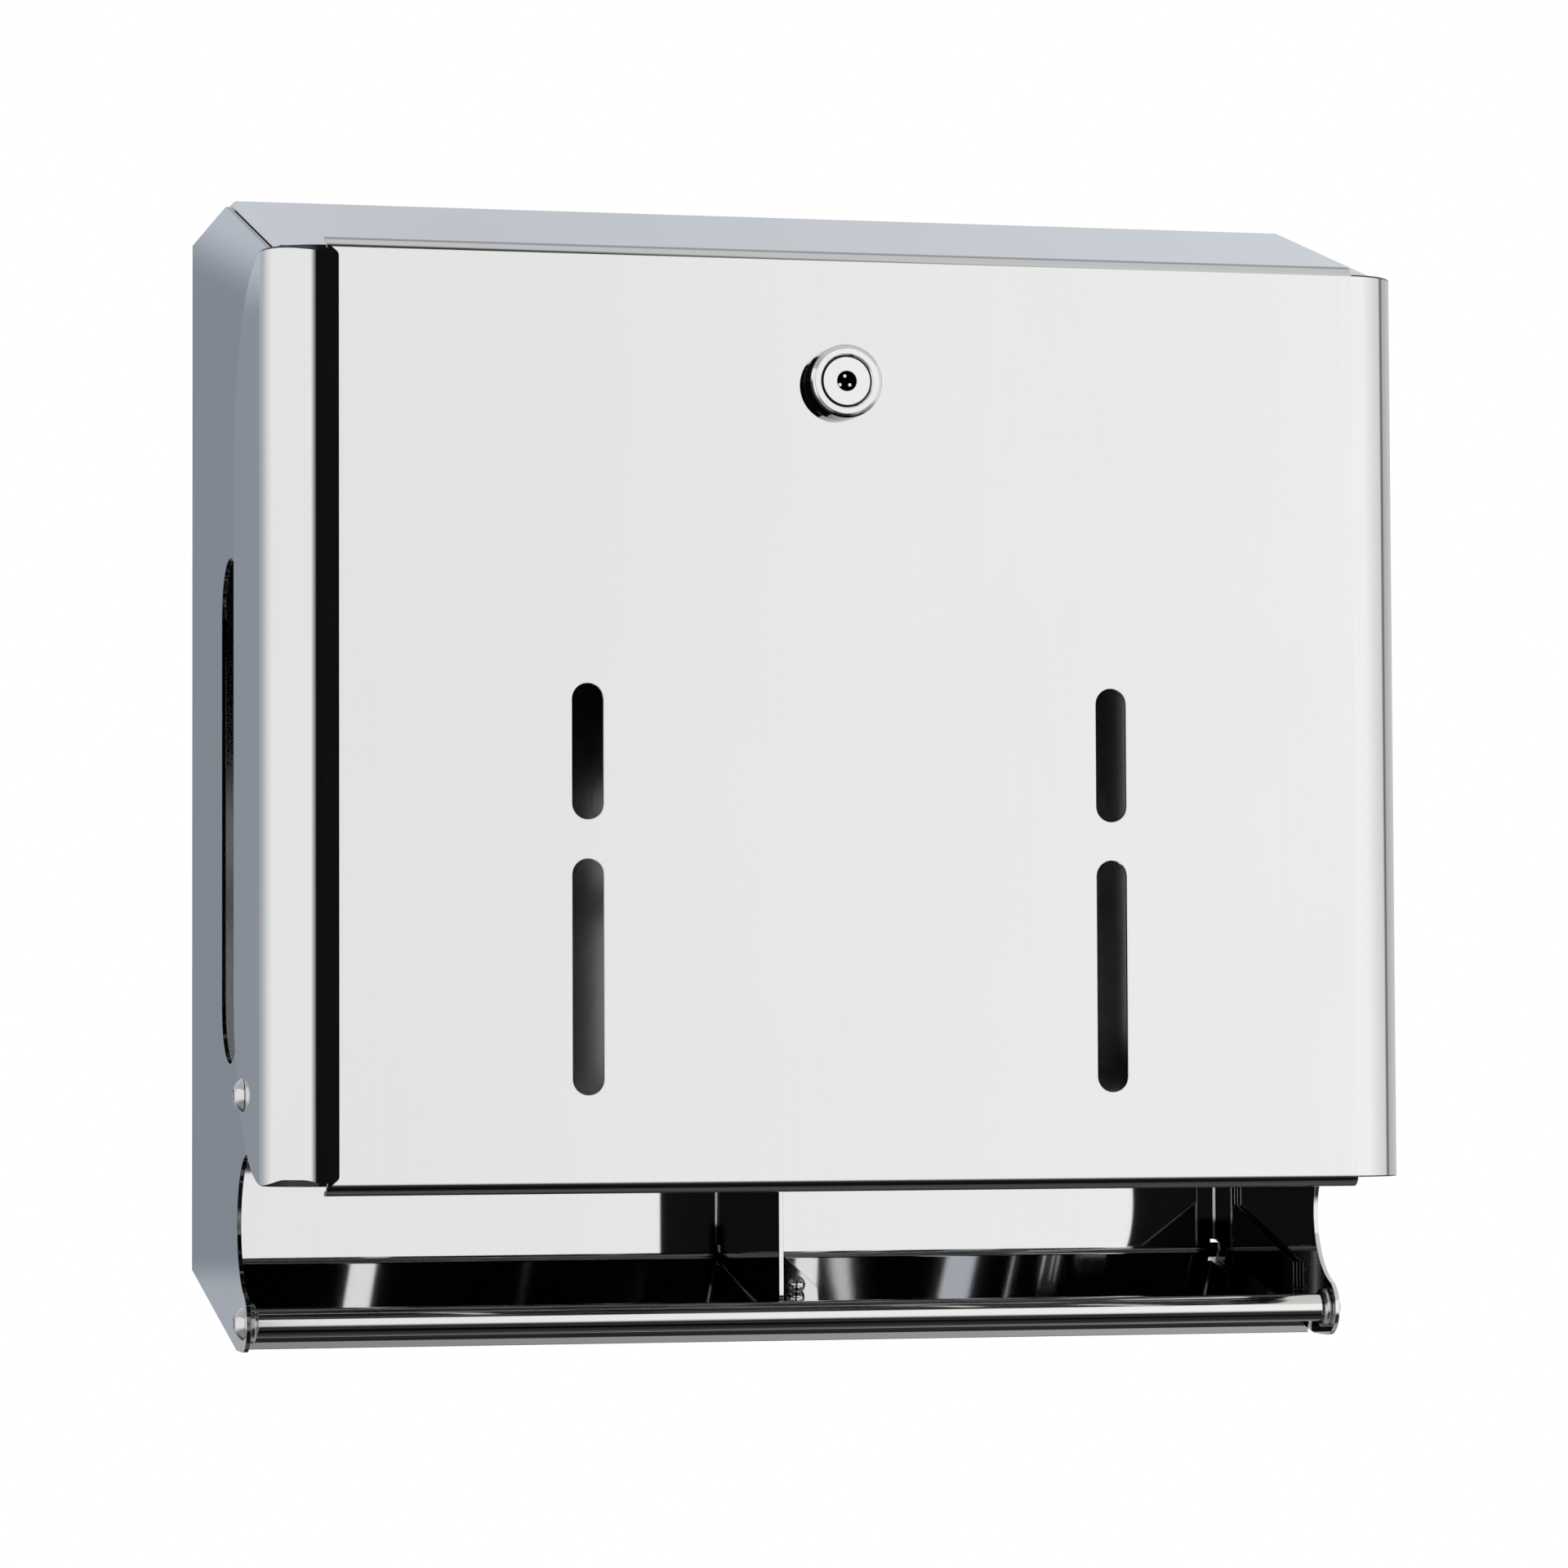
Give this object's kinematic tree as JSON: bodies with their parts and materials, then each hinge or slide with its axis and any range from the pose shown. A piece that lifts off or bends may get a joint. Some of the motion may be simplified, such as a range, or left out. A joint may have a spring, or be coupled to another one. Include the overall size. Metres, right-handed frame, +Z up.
{
  "type": "multi-roll toilet paper dispenser",
  "caption": "Wall-mounted stainless steel toilet roll dispenser with side-by-side chutes, sight slots, a front bar and a locking cover that swings forward and down.",
  "frame": {"origin": "middle of the four wall screw holes, on the wall plane", "axes": "+Z up, +X to the right seen from the front, the front faces -Y and +Y points into the wall"},
  "size_m": [0.2622, 0.1366, 0.2602],
  "materials": {
    "sheet_steel": "satin stainless sheet with a fine upright grain",
    "bar_steel": "polished round bar",
    "screw_steel": "plain stainless fasteners",
    "washer_steel": "turned steel spacer",
    "bearing_washer": "dark nylon",
    "lock_chrome": "bright plated lock",
    "lock_zinc": "zinc plated steel"
  },
  "bodies": {
    "housing": {"back_pan": "sheet_steel", "left_wall": "sheet_steel", "right_wall": "sheet_steel", "hood": "sheet_steel", "divider": "sheet_steel", "divider_screw": "screw_steel", "divider_nut": "screw_steel", "front_bar": "bar_steel", "left_bar_washer": "washer_steel", "right_bar_washer": "washer_steel", "left_bar_screw": "screw_steel", "right_bar_screw": "screw_steel", "left_pivot_screw": "screw_steel", "right_pivot_screw": "screw_steel", "left_pivot_washer": "bearing_washer", "right_pivot_washer": "bearing_washer", "left_pivot_nut": "screw_steel", "right_pivot_nut": "screw_steel"},
    "cover": {"front_cover": "sheet_steel", "lock_body": "lock_chrome", "lock_nut": "lock_zinc"},
    "lock_core": {"lock_plug": "lock_chrome", "lock_cam": "lock_zinc", "cam_screw": "lock_zinc"}
  },
  "joints": [
    {"name": "cover_swing", "type": "hinge", "parent": "housing", "child": "cover", "pos_m": [0, -0.094, -0.0794], "axis": [1, 0, 0], "range_deg": [0, 85]},
    {"name": "lock_turn", "type": "hinge", "parent": "cover", "child": "lock_core", "pos_m": [-0.0022, -0.1196, 0.07621], "axis": [0, -1, 0], "range_deg": [0, 90]}
  ]
}
